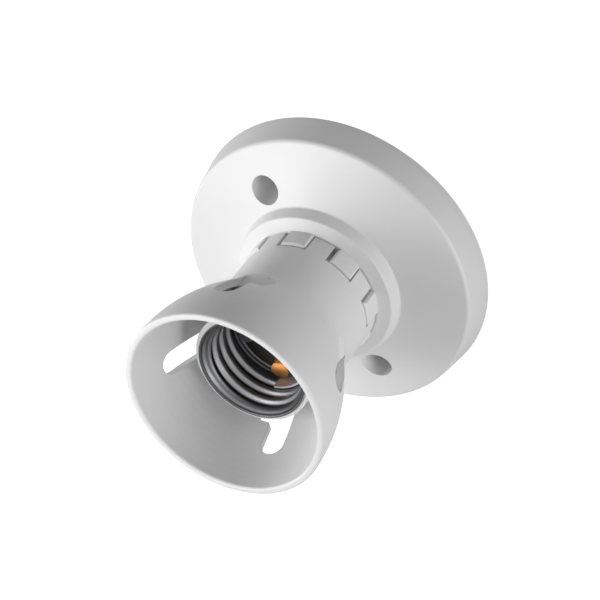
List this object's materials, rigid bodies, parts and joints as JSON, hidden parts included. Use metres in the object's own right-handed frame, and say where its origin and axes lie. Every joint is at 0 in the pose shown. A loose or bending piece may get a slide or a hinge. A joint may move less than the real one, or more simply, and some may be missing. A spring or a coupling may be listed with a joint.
{
  "type": "batten lamp holder",
  "caption": "Round plastic base with a castellated neck, a bell-shaped slotted skirt and a rolled metal screw shell that takes a lamp cap; fixed by screws through the base.",
  "frame": {"origin": "centre of the open back of the base, in the plane that meets the ceiling or wall", "axes": "+Z along the lamp's axis, out of the mounting surface; X through both fixing holes"},
  "size_m": [0.0838, 0.0838, 0.0674],
  "materials": {
    "base_plastic": "satin moulded",
    "skirt_plastic": "satin moulded",
    "plated_shell": "nickel-plated rolled sheet",
    "carrier_board": "moulded phenolic",
    "contact_copper": "copper-coloured spring strip",
    "plated_contact": "plated strip",
    "rivet_metal": "bright",
    "strap_brass": "rolled strip",
    "terminal_brass": "machined",
    "screw_steel": "zinc-plated"
  },
  "bodies": {
    "holder": {"base": "base_plastic", "screw_shell": "plated_shell", "contact_carrier": "carrier_board", "insert_screws": "screw_steel", "centre_rivet": "rivet_metal", "side_contact": "plated_contact", "side_rivet": "rivet_metal", "live_strap": "strap_brass", "neutral_strap": "strap_brass", "live_terminal": "terminal_brass", "neutral_terminal": "terminal_brass", "loop_terminal": "terminal_brass", "earth_terminal": "terminal_brass"},
    "skirt": {"skirt": "skirt_plastic"},
    "centre_contact": {"centre_contact": "contact_copper"},
    "live_screw": {"live_screw": "screw_steel"},
    "neutral_screw": {"neutral_screw": "screw_steel"},
    "loop_screw": {"loop_screw": "screw_steel"},
    "earth_screw": {"earth_screw": "screw_steel"}
  },
  "joints": [
    {"name": "skirt_pull", "type": "slide", "parent": "holder", "child": "skirt", "axis": [0, 0, 1], "range_m": [0, 0.036]},
    {"name": "contact_spring", "type": "hinge", "parent": "holder", "child": "centre_contact", "pos_m": [0.00789, -0.00287, 0.03695], "axis": [-0.342, -0.9397, 0], "range_deg": [0, 5], "stiffness_Nm_per_rad": 0.4},
    {"name": "live_screw_turn", "type": "hinge", "parent": "holder", "child": "live_screw", "pos_m": [0, -0.025, 0.002], "axis": [0, 0, -1], "range_deg": [0, 720]},
    {"name": "neutral_screw_turn", "type": "hinge", "parent": "holder", "child": "neutral_screw", "pos_m": [0, 0.025, 0.002], "axis": [0, 0, -1], "range_deg": [0, 720]},
    {"name": "loop_screw_turn", "type": "hinge", "parent": "holder", "child": "loop_screw", "pos_m": [0.01768, -0.01768, 0.002], "axis": [0, 0, -1], "range_deg": [0, 720]},
    {"name": "earth_screw_turn", "type": "hinge", "parent": "holder", "child": "earth_screw", "pos_m": [0.01768, 0.01768, 0.002], "axis": [0, 0, -1], "range_deg": [0, 720]}
  ]
}
